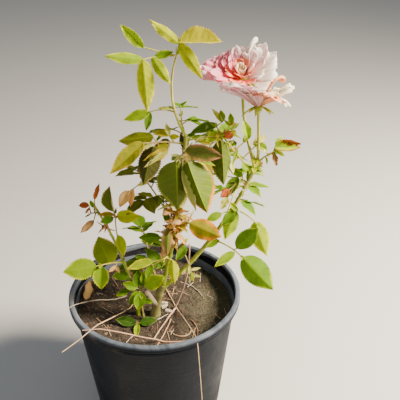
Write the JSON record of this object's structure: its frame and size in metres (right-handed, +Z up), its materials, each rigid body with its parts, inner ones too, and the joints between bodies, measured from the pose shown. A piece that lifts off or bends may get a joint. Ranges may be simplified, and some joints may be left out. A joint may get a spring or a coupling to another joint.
{
  "type": "potted rose bush",
  "caption": "Young rose bush with two open blooms on forked green canes, growing in a round black nursery pot.",
  "frame": {"origin": "centre of the pot's flat underside", "axes": "+Z up along the pot's axis; -Y is the side the picture is taken from, and +X is to its right"},
  "size_m": [0.3576, 0.28, 0.6732],
  "materials": {
    "pot": "dusty moulded black plastic",
    "soil": "damp bark and peat potting mix",
    "stem_bark": "woody green-brown bark",
    "cane_bark": "smooth green cane with prickles",
    "leaf": "green leaf, satin",
    "dark_leaf": "old olive leaf, dull",
    "young_leaf": "young yellow-green leaf, satin",
    "pink_petal": "soft pink petal",
    "pale_petal": "soft cream and peach petal"
  },
  "bodies": {
    "root": {"pot": "pot", "soil": "soil", "main_stem": "stem_bark", "pruned_stub": "stem_bark", "center_cane": "cane_bark", "right_cane": "cane_bark", "left_cane": "cane_bark", "upper_bloom": "pink_petal", "lower_bloom": "pale_petal", "top_shoot": "young_leaf", "crown_left_spray": "dark_leaf", "crown_front_spray": "leaf", "crown_right_spray": "leaf", "inner_spray": "dark_leaf", "fork_spray": "leaf", "fork_right_spray": "leaf", "right_low_spray": "leaf", "right_middle_spray": "young_leaf", "right_upper_spray": "leaf", "right_tip_spray": "leaf", "bud_spray": "young_leaf", "left_low_spray": "young_leaf", "left_tall_spray": "dark_leaf", "left_tip_spray": "dark_leaf", "base_left_spray": "leaf", "ground_sprig": "leaf", "back_low_spray": "leaf", "back_left_spray": "dark_leaf", "back_right_spray": "leaf", "back_crown_spray": "leaf", "right_back_spray": "leaf"}
  },
  "joints": []
}
